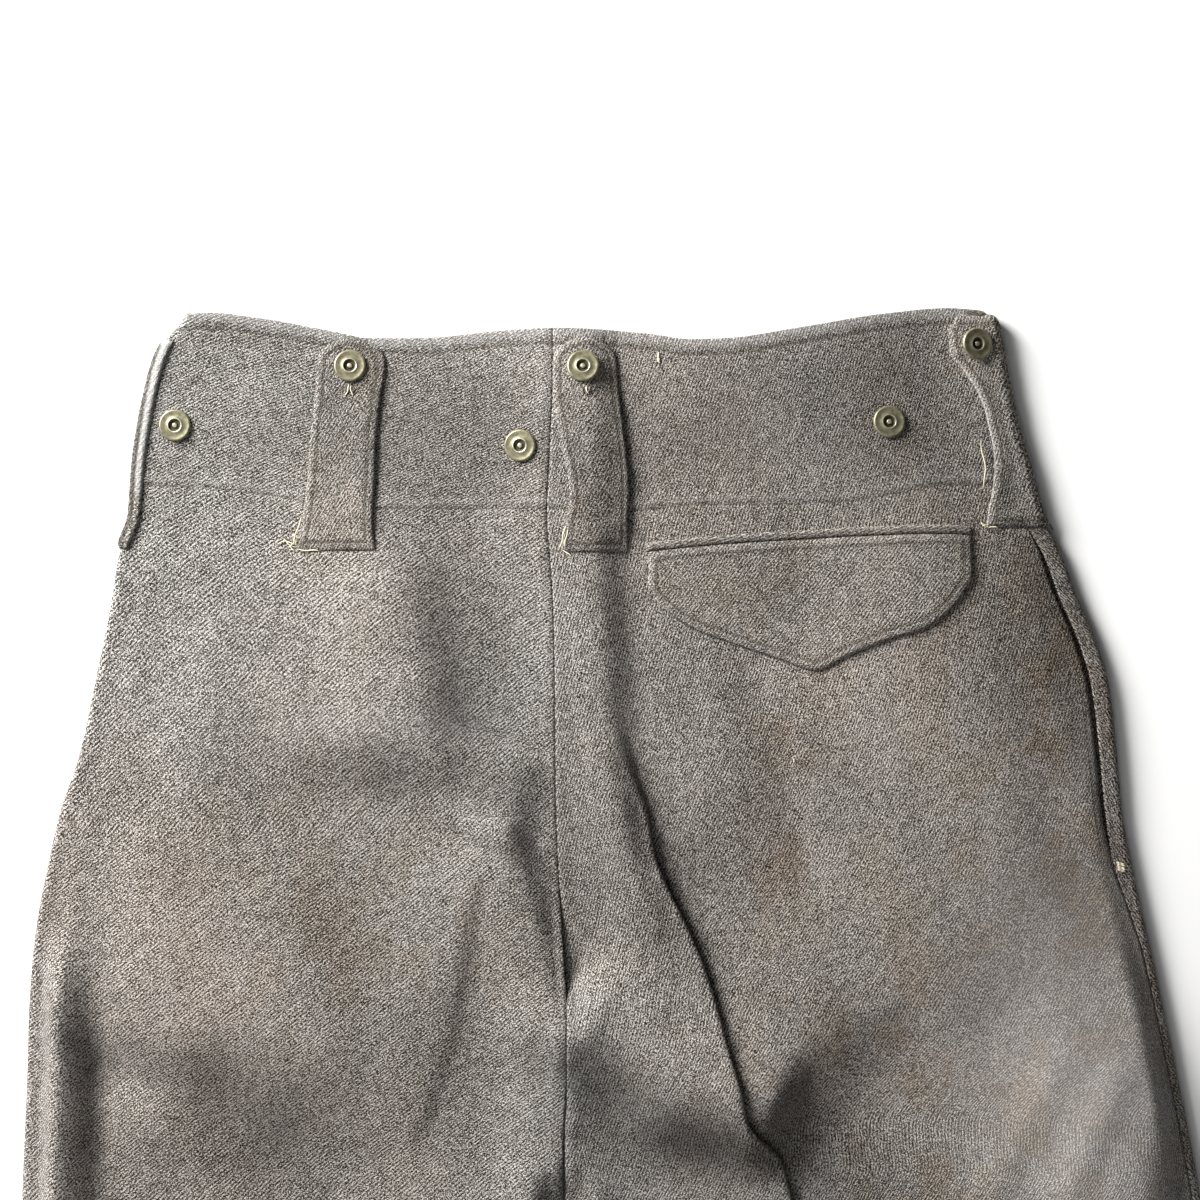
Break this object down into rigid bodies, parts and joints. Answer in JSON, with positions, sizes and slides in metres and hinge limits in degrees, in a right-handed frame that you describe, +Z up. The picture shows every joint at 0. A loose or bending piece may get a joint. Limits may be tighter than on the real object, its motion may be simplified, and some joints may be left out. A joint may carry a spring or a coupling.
{
  "type": "battledress trousers",
  "caption": "Heavy wool serge battledress trousers laid flat, back upwards, with buttoned belt loops, ring buttons, a hip pocket flap and a slanting side pocket.",
  "frame": {"origin": "bottom centre of the bounding box: the middle of the laid garment, on the surface it lies on", "axes": "+Y towards the waist along the length, +X to the wearer's right, +Z up off the surface, out of the back of the garment"},
  "size_m": [0.6429, 1.12, 0.0403],
  "materials": {
    "trouser_serge": "heavy brown-grey melange wool serge with a steep twill, matt with a fine nap",
    "belt_loop_serge": "the same serge doubled, with stitched edges",
    "pocket_serge": "the same serge, its twill less steep on the flap",
    "button_metal": "olive-green paint worn to brass on the rims, satin"
  },
  "bodies": {
    "root": {"back_left": "trouser_serge", "back_right": "trouser_serge", "front_left": "trouser_serge", "front_right": "trouser_serge", "belt_loop_back_left": "belt_loop_serge", "belt_loop_back_centre": "belt_loop_serge", "belt_loop_side_left": "belt_loop_serge", "belt_loop_side_right": "belt_loop_serge", "hip_pocket_flap": "pocket_serge", "hip_pocket_welt": "pocket_serge", "side_pocket_facing": "pocket_serge", "jacket_button_left": "button_metal", "jacket_button_centre": "button_metal", "jacket_button_right": "button_metal", "loop_button_left": "button_metal", "loop_button_centre": "button_metal", "loop_button_right": "button_metal"}
  },
  "joints": []
}
